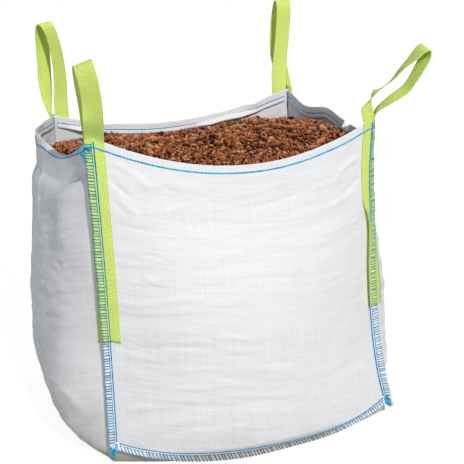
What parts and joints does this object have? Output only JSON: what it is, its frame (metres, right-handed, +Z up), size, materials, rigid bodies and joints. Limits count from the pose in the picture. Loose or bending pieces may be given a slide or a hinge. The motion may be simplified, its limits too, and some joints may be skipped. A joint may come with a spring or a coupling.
{
  "type": "bulk bag of raised bed soil",
  "caption": "Square woven bulk bag, open at the top and filled with coarse red-brown soil, with sewn corner fins, a folded hem and lime webbing lifting loops.",
  "frame": {"origin": "on the ground under the middle of the bag", "axes": "+Z up, the front end panel faces -Y, +X to the right of the front panel"},
  "size_m": [1.1296, 1.1058, 1.2159],
  "materials": {
    "woven_fabric": "matt white woven tape fabric with a slight sheen",
    "lime_webbing": "matt lime green woven webbing",
    "red_brown_soil": "matt, coarse and crumbly"
  },
  "bodies": {
    "root": {"front_panel": "woven_fabric", "back_panel": "woven_fabric", "side_base_panel": "woven_fabric", "loop_front_left": "lime_webbing", "loop_front_right": "lime_webbing", "loop_back_left": "lime_webbing", "loop_back_right": "lime_webbing", "soil_fill": "red_brown_soil"}
  },
  "joints": []
}
